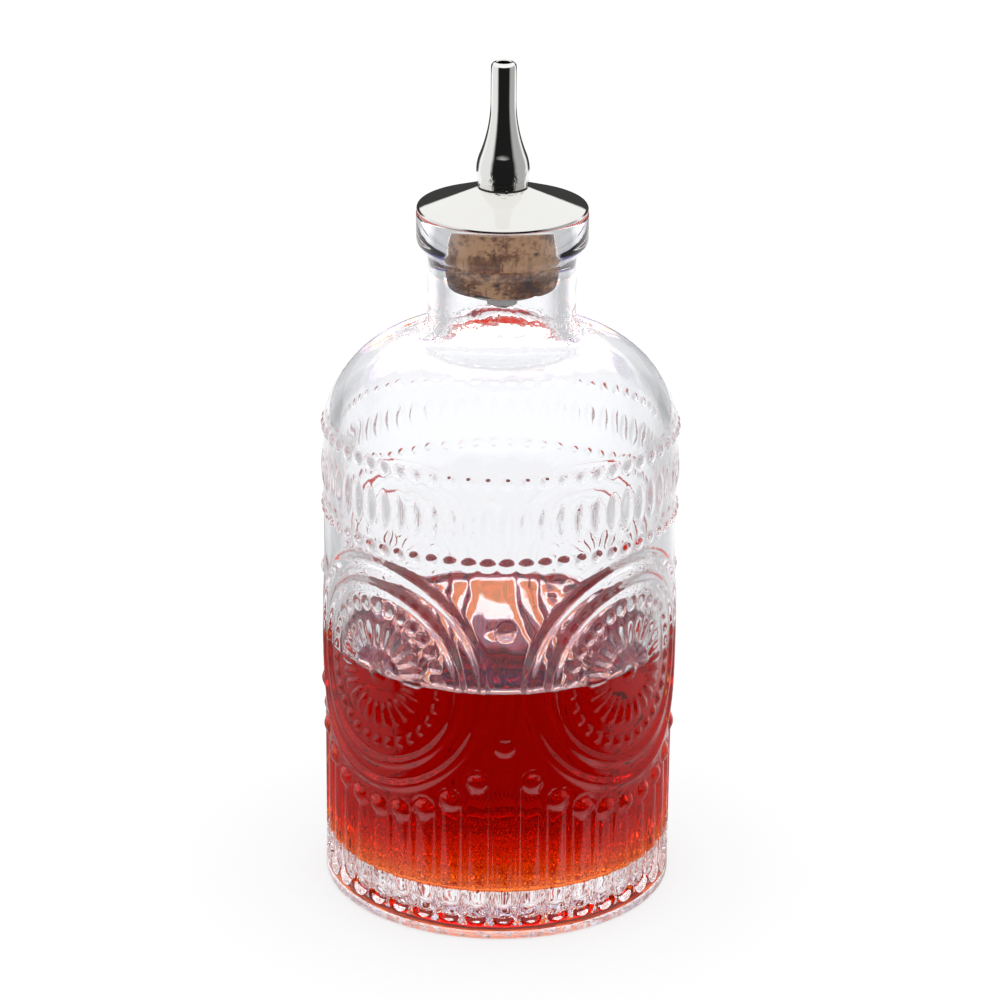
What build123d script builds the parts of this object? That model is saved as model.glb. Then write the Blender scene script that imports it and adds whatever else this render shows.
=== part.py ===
from build123d import *
import math
import os

# Bitters bottle with a dasher stopper, in millimetres.
# The frame stands at the centre of the base: +Z up the bottle, -Y towards a
# spandrel, so that a medallion sits 45 degrees to each side of the front.

# Outside of the glass, from the base up
body_radius = 33.0
heel_round = 0.7
standing_ring_width = 5.0
push_up_depth = 2.4
body_height = 91.0
shoulder_corner_radius = 8.7
shoulder_corner_angle = 15.0
neck_radius = 13.7
neck_fillet = 2.8
neck_length = 13.022
lip_radius = 15.8
lip_roll_height = 3.1
lip_land_height = 4.1
lip_edge_round = 0.6

# Inside of the glass
wall = 3.0
floor_thickness = 9.2
floor_corner_radius = 2.6
floor_dome_height = 1.2
neck_wall = 3.4
throat_round = 3.4
shoulder_centre_offset = 2.3
mouth_round = 0.3

# Bands of beads and pointed ovals below the shoulder
band_count = 60
band_bead_diameter = 2.5
band_bead_relief = 0.52
upper_bead_rise = 0.1
oval_length = 7.5
oval_width = 3.0
oval_relief = 0.5
oval_drop = 8.0
lower_bead_drop = 15.7

# Four medallions round the body, and a bead in each spandrel between them
medallion_count = 4
medallion_height = 50.3
boss_diameter = 4.0
boss_relief = 0.8
petal_count = 24
petal_inner_radius = 6.0
petal_length = 4.2
petal_width = 1.5
petal_relief = 0.4
ring_bead_count = 30
ring_bead_circle_radius = 13.5
ring_bead_diameter = 2.1
ring_bead_relief = 0.55
inner_ridge_radius = 17.4
outer_ridge_radius = 21.9
ridge_width = 2.2
ridge_relief = 0.6
ridge_edge_round = 0.35
spandrel_bead_height = 62.4
spandrel_bead_diameter = 4.0
spandrel_bead_relief = 0.6

# Flutes that run up to an arch under each medallion
flute_count = 40
flute_depth = 1.0
flute_overlap = 0.2
flute_foot_height = 5.7
flute_rib_foot_height = 8.5
flute_rib_width = 4.3
flute_rib_relief = 0.8
flute_bead_diameter = 4.0
flute_bead_relief = 0.66
arch_half_angle = 49.3
arch_half_height = 26.7

# Liquid
fill_height = 49.3
fill_clearance = 0.05

# Cork and cover plate
cork_length = 14.0
cork_clearance = 0.1
cork_taper = 0.4
cork_foot_round = 1.0
plate_radius = 15.7
plate_rim_height = 1.0
plate_rim_round = 0.3
plate_rise = 3.5
plate_land_radius = 4.9

# Stem that clamps the cork between the plate and a washer
washer_radius = 6.8
washer_thickness = 1.0
nut_across_flats = 5.5
nut_height = 2.2
nut_chamfer = 0.3
stem_radius = 1.8
stem_bore_radius = 1.0
stem_tail = 0.5
stem_flange_radius = 3.2
stem_flange_height = 0.8
stem_spigot_length = 4.2
stem_clearance = 0.05
thread_pitch = 0.7
thread_depth = 0.3

# Spout
spout_height = 22.9
spout_foot_radius = 4.6
spout_bulge_radius = 4.87
spout_bulge_height = 2.7
spout_flare_height = 13.2
spout_flare_share = 0.757
spout_tip_radius = 2.33
spout_tip_round = 0.85
spout_hole_radius = 1.2
spout_hole_length = 8.0
spout_pocket_clearance = 0.15
spout_socket_spare = 0.4
gasket_thickness = 0.3
gasket_inset = 0.12
gasket_width = 0.9

# One overrun serves every cut that has to pass right through
overrun = 1.0

# Places that follow from the sizes above
corner_turn = math.radians(shoulder_corner_angle)
corner_centre_r = body_radius - shoulder_corner_radius
shoulder_start_r = corner_centre_r + shoulder_corner_radius * math.cos(corner_turn)
shoulder_start_z = body_height + shoulder_corner_radius * math.sin(corner_turn)
bore_radius = neck_radius - neck_wall
shoulder_centre_r = bore_radius + shoulder_centre_offset
shoulder_radius = (shoulder_start_r - shoulder_centre_r) / math.cos(corner_turn)
shoulder_centre_z = shoulder_start_z - shoulder_radius * math.sin(corner_turn)
fillet_reach = neck_radius + neck_fillet - shoulder_centre_r
fillet_climb = math.sqrt((shoulder_radius + neck_fillet) ** 2 - fillet_reach ** 2)
neck_start_z = shoulder_centre_z + fillet_climb
lip_start_z = neck_start_z + neck_length
lip_land_z = lip_start_z + lip_roll_height
lip_edge_z = lip_land_z + lip_land_height
glass_top_z = lip_edge_z + lip_edge_round
cavity_radius = body_radius - wall
flute_floor_radius = body_radius - flute_depth
cork_foot_z = glass_top_z - cork_length
washer_foot_z = cork_foot_z - washer_thickness
nut_foot_z = washer_foot_z - nut_height
plate_land_z = glass_top_z + plate_rim_height + plate_rise
spout_foot_z = plate_land_z + gasket_thickness
flange_top_z = plate_land_z + stem_flange_height
spigot_top_z = flange_top_z + stem_spigot_length
front_angle = -90.0


def turned(outline):
    """Solid of revolution about Z from a closed outline drawn in the XZ plane."""
    return revolve(make_face(Plane.XZ * outline), Axis.Z, 360)


def on_wall(radius, angle, height):
    """Place at this radius: local X points outwards and local Z up the wall."""
    turn = math.radians(angle)
    return Location((radius * math.cos(turn), radius * math.sin(turn), height), (0, 0, angle))


def bead(diameter, relief, angle, height):
    """Round bead that stands proud of the body wall by its relief."""
    ball = Rot(0, 0, 180) * Sphere(diameter / 2)
    return on_wall(body_radius + relief - diameter / 2, angle, height) * ball


def spindle(length, width):
    """Pointed oval along Z: a flat arc turned about its own chord."""
    half = length / 2
    arc = ThreePointArc((0, -half), (width / 2, 0), (0, half))
    return Rot(0, 0, 180) * turned(arc + Line((0, half), (0, -half)))


def glass_blank():
    """Solid glass: the outside turned about the axis, with no cavity yet."""
    ring_outer = body_radius - heel_round
    shoulder_end = math.degrees(math.atan2(fillet_climb, fillet_reach))
    push_up = TangentArc((0, push_up_depth), (ring_outer - standing_ring_width, 0), tangent=(1, 0))
    ring = Line(push_up @ 1, (ring_outer, 0))
    heel = TangentArc((ring_outer, 0), (body_radius, heel_round), tangent=(1, 0))
    side = Line(heel @ 1, (body_radius, body_height))
    corner = CenterArc((corner_centre_r, body_height), shoulder_corner_radius, 0, shoulder_corner_angle)
    shoulder = CenterArc(
        (shoulder_centre_r, shoulder_centre_z),
        shoulder_radius,
        shoulder_corner_angle,
        shoulder_end - shoulder_corner_angle,
    )
    fillet_arc = TangentArc(shoulder @ 1, (neck_radius, neck_start_z), tangent=shoulder % 1)
    neck = Line(fillet_arc @ 1, (neck_radius, lip_start_z))
    roll = TangentArc((lip_radius, lip_land_z), (neck_radius, lip_start_z), tangent=(0, -1))
    land = Line((lip_radius, lip_land_z), (lip_radius, lip_edge_z))
    edge = TangentArc(land @ 1, (lip_radius - lip_edge_round, glass_top_z), tangent=(0, 1))
    top = Line(edge @ 1, (0, glass_top_z))
    axis = Line((0, glass_top_z), (0, push_up_depth))
    outline = push_up + ring + heel + side + corner + shoulder + fillet_arc
    return turned(outline + neck + roll + land + edge + top + axis)


def cavity_floor(gap):
    """Domed floor and rounded corner of the cavity, moved in from the glass by a gap."""
    corner_r = cavity_radius - floor_corner_radius
    dome_top = (0, floor_thickness + floor_dome_height + gap)
    dome = TangentArc(dome_top, (corner_r, floor_thickness + gap), tangent=(1, 0))
    corner_centre = (corner_r, floor_thickness + floor_corner_radius)
    return dome + CenterArc(corner_centre, floor_corner_radius - gap, -90, 90)


def cavity():
    """Space inside the glass, from the floor up through the mouth."""
    inner_corner = CenterArc(
        (corner_centre_r, body_height), shoulder_corner_radius - wall, 0, shoulder_corner_angle
    )
    inner_shoulder_radius = shoulder_radius - wall
    throat_reach = bore_radius + throat_round - shoulder_centre_r
    throat_climb = math.sqrt((inner_shoulder_radius + throat_round) ** 2 - throat_reach ** 2)
    throat_angle = math.degrees(math.atan2(throat_climb, throat_reach))
    inner_shoulder = CenterArc(
        (shoulder_centre_r, shoulder_centre_z),
        inner_shoulder_radius,
        shoulder_corner_angle,
        throat_angle - shoulder_corner_angle,
    )
    side = Line((cavity_radius, floor_thickness + floor_corner_radius), (cavity_radius, body_height))
    throat_z = shoulder_centre_z + throat_climb
    throat = TangentArc(inner_shoulder @ 1, (bore_radius, throat_z), tangent=inner_shoulder % 1)
    bore = Line((bore_radius, throat_z), (bore_radius, glass_top_z - mouth_round))
    mouth = TangentArc(bore @ 1, (bore_radius + mouth_round, glass_top_z), tangent=(0, 1))
    top_z = glass_top_z + overrun
    rise = Line(mouth @ 1, (bore_radius + mouth_round, top_z))
    top = Line(rise @ 1, (0, top_z))
    axis = Line((0, top_z), (0, floor_thickness + floor_dome_height))
    outline = cavity_floor(0) + side + inner_corner + inner_shoulder + throat + bore
    return turned(outline + mouth + rise + top + axis)


def band_ornament():
    """A row of beads, a row of pointed ovals and a second row of beads."""
    pieces = []
    oval = spindle(oval_length, oval_width)
    for index in range(band_count):
        angle = front_angle + 360 * index / band_count
        pieces.append(bead(band_bead_diameter, band_bead_relief, angle, body_height + upper_bead_rise))
        pieces.append(bead(band_bead_diameter, band_bead_relief, angle, body_height - lower_bead_drop))
        oval_r = body_radius + oval_relief - oval_width / 2
        pieces.append(on_wall(oval_r, angle, body_height - oval_drop) * oval)
    return pieces


def ridge(radius, angle):
    """Raised ring round a medallion, bent to the wall, with its outer edges rounded."""
    inner = radius - ridge_width / 2
    outer = radius + ridge_width / 2
    inner_half = body_radius * math.sin(inner / body_radius)
    outer_half = body_radius * math.sin(outer / body_radius)
    turn = math.radians(angle)
    view = Plane(
        (0, 0, medallion_height),
        x_dir=(-math.sin(turn), math.cos(turn), 0),
        z_dir=(math.cos(turn), math.sin(turn), 0),
    )
    ring = Ellipse(outer_half, outer) - Ellipse(inner_half, inner)
    tube = extrude(view * ring, body_radius + ridge_relief + overrun)
    band_height = 2 * (outer + overrun)
    band = Cylinder(body_radius + ridge_relief, band_height)
    band -= Cylinder(body_radius - ridge_relief, band_height)
    shaped = tube & (Pos(0, 0, medallion_height) * Rot(0, 0, angle + 180) * band)
    crest = max(shaped.faces(), key=lambda face: math.hypot(face.center().X, face.center().Y))
    return fillet(crest.edges(), ridge_edge_round)


def medallion(angle):
    """Boss, petals, ring of beads and two ridges, centred at this angle on the wall."""
    pieces = [bead(boss_diameter, boss_relief, angle, medallion_height)]
    petal = spindle(petal_length, petal_width)
    petal_circle = petal_inner_radius + petal_length / 2
    petal_r = body_radius + petal_relief - petal_width / 2
    for index in range(petal_count):
        lean = 2 * math.pi * index / petal_count
        side = math.degrees(petal_circle * math.sin(lean) / body_radius)
        height = medallion_height + petal_circle * math.cos(lean)
        pieces.append(on_wall(petal_r, angle + side, height) * Rot(-math.degrees(lean), 0, 0) * petal)
    for index in range(ring_bead_count):
        lean = 2 * math.pi * index / ring_bead_count
        side = math.degrees(ring_bead_circle_radius * math.sin(lean) / body_radius)
        height = medallion_height + ring_bead_circle_radius * math.cos(lean)
        pieces.append(bead(ring_bead_diameter, ring_bead_relief, angle + side, height))
    pieces.append(ridge(inner_ridge_radius, angle))
    pieces.append(ridge(outer_ridge_radius, angle))
    return pieces


def flute_top(angle_from_front):
    """Height of the bead on a flute: the flutes stop along an arch under each medallion."""
    sector = 360 / medallion_count
    from_medallion = abs(angle_from_front % sector - sector / 2)
    return medallion_height - arch_half_height * math.sqrt(1 - (from_medallion / arch_half_angle) ** 2)


def flute_pockets():
    """Upright slots, a flute wide, that are cut into the wall before the ribs go in."""
    pockets = []
    slot_width = 2 * math.pi * body_radius / flute_count + flute_overlap
    slot_depth = 2 * flute_depth + overrun
    for index in range(flute_count):
        step = 360 * index / flute_count
        top = flute_top(step)
        turn = math.radians(front_angle + step)
        face = Plane(
            (
                (flute_floor_radius - flute_depth) * math.cos(turn),
                (flute_floor_radius - flute_depth) * math.sin(turn),
                (flute_foot_height + top) / 2,
            ),
            x_dir=(0, 0, 1),
            z_dir=(math.cos(turn), math.sin(turn), 0),
        )
        slot = SlotCenterToCenter(top - flute_foot_height, slot_width)
        pockets.append(extrude(face * slot, slot_depth))
    return pockets


def flute_ribs():
    """Rounded ribs with a bead on top of each, on the floor that the pockets leave."""
    floor_foot = flute_foot_height - flute_rib_width
    floor_height = medallion_height - floor_foot
    floor = Cylinder(flute_floor_radius, floor_height, align=(Align.CENTER, Align.CENTER, Align.MIN))
    pieces = [Pos(0, 0, floor_foot) * floor]
    half_width = flute_rib_width / 2
    rib_radius = (half_width ** 2 + flute_rib_relief ** 2) / (2 * flute_rib_relief)
    rib_r = flute_floor_radius + flute_rib_relief - rib_radius
    for index in range(flute_count):
        step = 360 * index / flute_count
        angle = front_angle + step
        top = flute_top(step)
        high = top - half_width
        low_tip = (0, flute_rib_foot_height - rib_radius)
        foot = TangentArc(low_tip, (rib_radius, flute_rib_foot_height), tangent=(1, 0))
        side = Line(foot @ 1, (rib_radius, high))
        head = TangentArc(side @ 1, (0, high + rib_radius), tangent=(0, 1))
        axis = Line(head @ 1, foot @ 0)
        rib = Rot(0, 0, 180) * turned(foot + side + head + axis)
        pieces.append(on_wall(rib_r, angle, 0) * rib)
        pieces.append(bead(flute_bead_diameter, flute_bead_relief, angle, top))
    return pieces


def make_glass_bottle():
    """Pressed glass: blank, flutes, bands, medallions and spandrel beads, then the cavity."""
    relief = flute_ribs() + band_ornament()
    for index in range(medallion_count):
        sector = 360 / medallion_count
        relief += medallion(front_angle + sector * (index + 0.5))
        relief.append(
            bead(
                spandrel_bead_diameter,
                spandrel_bead_relief,
                front_angle + sector * index,
                spandrel_bead_height,
            )
        )
    blank = glass_blank() - flute_pockets()
    return blank.fuse(*relief) - cavity()


def make_bitters_fill():
    """Liquid that fills the cavity up to its level."""
    side_r = cavity_radius - fill_clearance
    side = Line((side_r, floor_thickness + floor_corner_radius), (side_r, fill_height))
    top = Line(side @ 1, (0, fill_height))
    axis = Line((0, fill_height), (0, floor_thickness + floor_dome_height + fill_clearance))
    return turned(cavity_floor(fill_clearance) + side + top + axis)


def make_cork_stopper():
    """Tapered cork with a bore for the stem."""
    top_r = bore_radius - cork_clearance
    foot_r = top_r - cork_taper
    hole_r = stem_radius + stem_clearance
    outline = Polyline(
        (hole_r, cork_foot_z),
        (foot_r, cork_foot_z),
        (top_r, glass_top_z),
        (hole_r, glass_top_z),
        close=True,
    )
    cork = turned(outline)
    foot_edge = cork.edges().filter_by(GeomType.CIRCLE).group_by(Axis.Z)[0].sort_by(SortBy.LENGTH)[-1]
    return fillet(foot_edge, cork_foot_round)


def make_cover_plate():
    """Shallow cone that covers the lip, with a small flat land for the spout."""
    hole_r = stem_radius + stem_clearance
    rim_top = glass_top_z + plate_rim_height
    outline = Polyline(
        (hole_r, glass_top_z),
        (plate_radius, glass_top_z),
        (plate_radius, rim_top),
        (plate_land_radius, plate_land_z),
        (hole_r, plate_land_z),
        close=True,
    )
    plate = turned(outline)
    rim_edges = plate.edges().filter_by(GeomType.CIRCLE).sort_by(SortBy.LENGTH)[-2:]
    return fillet(rim_edges, plate_rim_round)


def thread_outline(low, high):
    """Zigzag of thread crests and roots up the stem, from one height to another."""
    turns = round((high - low) / thread_pitch)
    points = [(stem_radius, low)]
    for index in range(turns):
        crest = low + thread_pitch * index
        points.append((stem_radius - thread_depth, crest + thread_pitch / 2))
        points.append((stem_radius, crest + thread_pitch))
    return points


def make_stem_tube():
    """Hollow stem: threaded tail for the nut, a flange on the plate and a threaded spigot."""
    tail_z = nut_foot_z - stem_tail
    tail_points = thread_outline(tail_z, washer_foot_z)
    spigot_points = thread_outline(flange_top_z, spigot_top_z)
    points = [(stem_bore_radius, tail_z)] + tail_points
    points += [(stem_radius, plate_land_z), (stem_flange_radius, plate_land_z)]
    points += [(stem_flange_radius, flange_top_z)] + spigot_points
    points += [(stem_bore_radius, spigot_points[-1][1])]
    return turned(Polyline(*points, close=True))


def make_clamp_washer():
    """Flat washer that spreads the nut's pull over the foot of the cork."""
    disc = Cylinder(washer_radius, washer_thickness, align=(Align.CENTER, Align.CENTER, Align.MIN))
    hole = Cylinder(stem_radius + stem_clearance, 2 * washer_thickness)
    return Pos(0, 0, washer_foot_z) * (disc - Pos(0, 0, washer_thickness / 2) * hole)


def make_stem_nut():
    """Hexagon nut under the washer, with its lower corners turned off."""
    flats_radius = nut_across_flats / 2
    hexagon = RegularPolygon(flats_radius, 6, major_radius=False)
    body = extrude(hexagon, nut_height)
    corner_radius = flats_radius / math.cos(math.radians(30))
    cone_foot = corner_radius - nut_chamfer
    envelope = turned(
        Polyline(
            (0, 0),
            (cone_foot, 0),
            (corner_radius, nut_chamfer),
            (corner_radius, nut_height),
            (0, nut_height),
            close=True,
        )
    )
    hole = Pos(0, 0, nut_height / 2) * Cylinder(stem_radius + stem_clearance, 2 * nut_height)
    return Pos(0, 0, nut_foot_z) * ((body & envelope) - hole)


def make_spout_gasket():
    """Thin dark ring that seals the foot of the spout on the plate."""
    outer = spout_foot_radius - gasket_inset
    ring = Cylinder(outer, gasket_thickness) - Cylinder(outer - gasket_width, 2 * gasket_thickness)
    return Pos(0, 0, plate_land_z + gasket_thickness / 2) * ring


def make_dasher_spout():
    """Bottle-shaped spout, screwed on the stem, with a narrow hole at its tip."""
    top_z = spout_foot_z + spout_height
    bulge_z = spout_foot_z + spout_bulge_height
    flare_end_z = bulge_z + spout_flare_height
    narrowing = spout_bulge_radius - spout_tip_radius
    lean = 2 * math.atan2(narrowing, spout_flare_height)
    arc_sum = spout_flare_height / math.sin(lean)
    shoulder_arc = arc_sum * (1 - spout_flare_share)
    join_r = spout_bulge_radius - shoulder_arc * (1 - math.cos(lean))
    join_z = bulge_z + shoulder_arc * math.sin(lean)
    foot = TangentArc((spout_bulge_radius, bulge_z), (spout_foot_radius, spout_foot_z), tangent=(0, -1))
    bulge = TangentArc((spout_bulge_radius, bulge_z), (join_r, join_z), tangent=(0, 1))
    flare = TangentArc((spout_tip_radius, flare_end_z), (join_r, join_z), tangent=(0, -1))
    tip = Line((spout_tip_radius, flare_end_z), (spout_tip_radius, top_z - spout_tip_round))
    tip_edge = TangentArc(tip @ 1, (spout_tip_radius - spout_tip_round, top_z), tangent=(0, 1))
    pocket_r = stem_flange_radius + spout_pocket_clearance
    pocket_z = flange_top_z + spout_pocket_clearance
    socket_r = stem_radius + stem_clearance
    socket_z = spigot_top_z + spout_socket_spare
    inside = Polyline(
        tip_edge @ 1,
        (spout_hole_radius, top_z),
        (spout_hole_radius, top_z - spout_hole_length),
        (socket_r, socket_z),
        (socket_r, pocket_z),
        (pocket_r, pocket_z),
        (pocket_r, spout_foot_z),
        (spout_foot_radius, spout_foot_z),
    )
    return turned(foot + bulge + flare + tip + tip_edge + inside)


os.makedirs("parts", exist_ok=True)
export_step(make_glass_bottle(), "parts/glass_bottle.step")
export_step(make_bitters_fill(), "parts/bitters_fill.step")
export_step(make_cork_stopper(), "parts/cork_stopper.step")
export_step(make_cover_plate(), "parts/cover_plate.step")
export_step(make_stem_tube(), "parts/stem_tube.step")
export_step(make_clamp_washer(), "parts/clamp_washer.step")
export_step(make_stem_nut(), "parts/stem_nut.step")
export_step(make_spout_gasket(), "parts/spout_gasket.step")
export_step(make_dasher_spout(), "parts/dasher_spout.step")
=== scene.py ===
import math
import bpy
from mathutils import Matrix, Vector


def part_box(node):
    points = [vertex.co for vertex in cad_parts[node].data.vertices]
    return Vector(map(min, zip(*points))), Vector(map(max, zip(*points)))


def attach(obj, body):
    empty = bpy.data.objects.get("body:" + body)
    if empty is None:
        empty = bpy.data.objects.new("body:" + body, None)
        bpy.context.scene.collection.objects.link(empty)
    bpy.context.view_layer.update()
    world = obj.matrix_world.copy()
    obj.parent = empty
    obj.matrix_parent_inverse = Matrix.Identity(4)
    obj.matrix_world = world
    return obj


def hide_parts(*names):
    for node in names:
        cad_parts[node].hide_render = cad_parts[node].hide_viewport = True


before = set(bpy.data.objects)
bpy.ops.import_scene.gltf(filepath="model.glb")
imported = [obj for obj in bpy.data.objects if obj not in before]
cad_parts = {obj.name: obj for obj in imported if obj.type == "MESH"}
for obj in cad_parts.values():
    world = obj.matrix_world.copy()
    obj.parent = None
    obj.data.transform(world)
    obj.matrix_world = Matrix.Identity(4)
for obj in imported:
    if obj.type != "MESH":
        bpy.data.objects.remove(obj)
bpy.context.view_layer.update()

from types import SimpleNamespace

import bpy
import numpy as np
from mathutils import Matrix, Vector

# Glass bottle
# Clear glass, shaped in a carved mould: its wall carries flutes, four medallions,
# beads and pointed ovals in relief. Its inside is smooth but for soft waves, and
# most of its underside is stippled.
mm = 0.001
glass_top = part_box("glass_bottle")[1].z
contact_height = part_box("bitters_fill")[1].z
body_radius = 33.0 * mm
body_height = 91.0 * mm
wall_columns = 480
inside_columns = 240
neck_columns = 120
heel_round = 0.7 * mm
ring_width = 5.0 * mm
push_up = 2.4 * mm
corner_radius = 8.7 * mm
corner_turn = math.radians(15.0)
wall = 3.0 * mm
neck_radius = 13.7 * mm
neck_wall = 3.4 * mm
neck_fillet = 2.8 * mm
shoulder_centre = 2.3 * mm
throat_round = 6.0 * mm
lip_radius = 15.8 * mm
lip_roll = 3.1 * mm
lip_land = 4.1 * mm
lip_edge = 0.6 * mm
mouth_round = 0.3 * mm
floor_height = 9.2 * mm
floor_dome = 1.2 * mm
floor_corner = 0.8 * mm
stipple_radius = 25.0 * mm
least_width = 0.001 * mm


def bump(distance, radius, relief, sharpness=1.6):
    """Round bead: a dome over a circle, relief times (1 - (d/r)^2) to the power of its sharpness."""
    return relief * np.clip(1.0 - (distance / radius) ** 2, 0.0, None) ** sharpness


def soft_step(x, low, high):
    """Smooth rise from 0 at low to 1 at high, as 3t^2 - 2t^3."""
    t = np.clip((x - low) / (high - low), 0.0, 1.0)
    return t * t * (3.0 - 2.0 * t)


def to_nearest(angle, pitch):
    """Angle from the nearest whole multiple of the pitch."""
    return angle - pitch * np.round(angle / pitch)


band_pitch = math.radians(6.0)
bead_rows = ((91.1 * mm, 1.25 * mm, 0.52 * mm), (75.3 * mm, 1.25 * mm, 0.52 * mm))
oval_middle = 83.0 * mm
oval_half_length = 3.75 * mm
oval_half_width = 1.5 * mm
oval_relief = 0.5 * mm


def band_relief(angle, height):
    """Two rows of beads and a row of pointed ovals, one every six degrees. An oval's
    half width and its height both follow one less the square of the way to its tip."""
    across = body_radius * to_nearest(angle, band_pitch)
    relief = np.zeros_like(angle)
    for middle, radius, rise in bead_rows:
        relief = np.maximum(relief, bump(np.hypot(across, height - middle), radius, rise))
    along = np.clip((height - oval_middle) / oval_half_length, -1.0, 1.0)
    half = oval_half_width * (1.0 - along ** 2) + least_width
    oval = oval_relief * (1.0 - along ** 2) * np.clip(1.0 - (across / half) ** 2, 0.0, None) ** 1.3
    return np.maximum(relief, oval)


medallion_height = 50.3 * mm
medallion_pitch = math.radians(90.0)
boss = (2.0 * mm, 0.62 * mm)
petal_count = 24
petal_start = 5.9 * mm
petal_end = 10.3 * mm
petal_half_width = 0.85 * mm
petal_relief = 0.45 * mm
ring_beads = 30
ring_circle = 13.5 * mm
ring_bead = (1.08 * mm, 0.58 * mm)
ridges = (17.4 * mm, 21.9 * mm)
ridge_half_width = 1.35 * mm
ridge_relief = 0.58 * mm
spandrel_bead = (62.4 * mm, 2.0 * mm, 0.6 * mm)


def medallion_relief(angle, height):
    """Boss, petals, ring of beads and two rounded ridges, in polar form round each centre."""
    across = body_radius * to_nearest(angle - medallion_pitch / 2, medallion_pitch)
    up = height - medallion_height
    radius = np.hypot(across, up)
    lean = np.arctan2(across, up)
    relief = bump(radius, *boss)
    middle = (petal_start + petal_end) / 2
    along = np.clip((radius - middle) / (petal_end - petal_start) * 2, -1.0, 1.0)
    sideways = radius * to_nearest(lean, 2 * math.pi / petal_count)
    half = petal_half_width * np.sqrt(1.0 - along ** 2) * radius / middle + least_width
    petal = petal_relief * np.clip(1.0 - (sideways / half) ** 2, 0.0, None) ** 0.9
    relief = np.maximum(relief, petal * (np.abs(along) < 1.0))
    bead_turn = ring_circle * to_nearest(lean, 2 * math.pi / ring_beads)
    relief = np.maximum(relief, bump(np.hypot(bead_turn, radius - ring_circle), *ring_bead))
    for ridge in ridges:
        relief = np.maximum(relief, bump(radius - ridge, ridge_half_width, ridge_relief))
    side = body_radius * to_nearest(angle, medallion_pitch)
    bead_height, bead_radius, bead_relief = spandrel_bead
    return np.maximum(relief, bump(np.hypot(side, height - bead_height), bead_radius, bead_relief))


flute_pitch = math.radians(9.0)
flute_depth = 1.05 * mm
flute_foot = 5.7 * mm
pocket_reach = 0.06 * mm
pocket_edge = 1.0 * mm
rib_foot = 8.5 * mm
flute_rib = (2.15 * mm, 0.8 * mm)
flute_bead = (2.0 * mm, 0.62 * mm)
arch_half_angle = math.radians(49.3)
arch_half_height = 26.7 * mm


def flute_relief(angle, height):
    """Scooped pockets, as deep everywhere but for a soft step along their edges, with a
    round ended rib in each up to a bead on the arch under its medallion."""
    across = body_radius * to_nearest(angle, flute_pitch)
    rib_angle = angle - to_nearest(angle, flute_pitch)
    from_medallion = to_nearest(rib_angle - medallion_pitch / 2, medallion_pitch)
    top = medallion_height - arch_half_height * np.sqrt(1.0 - (from_medallion / arch_half_angle) ** 2)
    distance = np.hypot(across, height - np.clip(height, flute_foot, top))
    half_pitch = body_radius * flute_pitch / 2 + pocket_reach
    pocket = soft_step(half_pitch - distance, 0.0, pocket_edge)
    from_rib = np.hypot(across, height - np.clip(height, rib_foot, top))
    rib = flute_rib[1] * np.clip(1.0 - (from_rib / flute_rib[0]) ** 2, 0.0, None) ** 0.7
    relief = -flute_depth * pocket + rib
    bead = bump(np.hypot(across, height - top), *flute_bead)
    return np.where(bead > 0.0, np.maximum(relief, bead), relief)


def wall_relief(angle, height):
    """Height of the glass above the plain wall: the strongest of all its ornament."""
    low = flute_relief(angle, height)
    high = np.maximum(band_relief(angle, height), medallion_relief(angle, height))
    return np.where(high > 0.0, np.maximum(low, high), low)


unevenness = 0.2 * mm
calm_share = 0.92
fewest_turns = 3
spread_of_turns = 16
shortest_wave = 13.0 * mm
waves = np.random.default_rng(7).uniform(0.0, 1.0, (14, 4))


def inside_waves(angle, height):
    """Soft waves of the inside: a sum of sines round and up the wall, seeded once."""
    total = np.zeros_like(angle)
    for turns, climb, start, share in waves:
        around = fewest_turns + np.floor(turns * spread_of_turns)
        upward = (climb * 2.0 - 1.0) * 2 * math.pi / shortest_wave
        total += (0.4 + share) * np.sin(around * angle + upward * height + start * 2 * math.pi)
    return unevenness * total / math.sqrt(len(waves))


def arc(centre, radius, start, end, count):
    """Points on an arc from one angle to another, in degrees from +r towards +z."""
    turn = np.radians(np.linspace(start, end, count))
    return np.column_stack([centre[0] + radius * np.cos(turn), centre[1] + radius * np.sin(turn)])


def arc_from(start, end, tangent, count):
    """Points on the one arc that leaves start along a tangent and reaches end."""
    start, end = np.array(start, float), np.array(end, float)
    tangent = np.array(tangent, float) / np.hypot(*tangent)
    chord = end - start
    normal = np.array([-tangent[1], tangent[0]])
    radius = chord.dot(chord) / (2.0 * chord.dot(normal))
    centre = start + normal * radius
    swing = 2.0 * math.atan2(chord.dot(normal), chord.dot(tangent))
    base = math.atan2(*(start - centre)[::-1])
    turn, size = base + np.linspace(0.0, swing, count), abs(radius)
    return np.column_stack([centre[0] + size * np.cos(turn), centre[1] + size * np.sin(turn)])


def run(start, end, count):
    """Evenly spaced points on a straight line."""
    return np.linspace(start, end, count)


def rings(profile, columns):
    """Rows of points: each (r, z) of a profile turned about the axis, from -Y."""
    turn = np.arange(columns) * 2 * math.pi / columns
    r, z = profile[:, 0:1], profile[:, 1:2]
    return np.stack([r * np.sin(turn), -r * np.cos(turn), z + 0 * turn], axis=-1)


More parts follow.
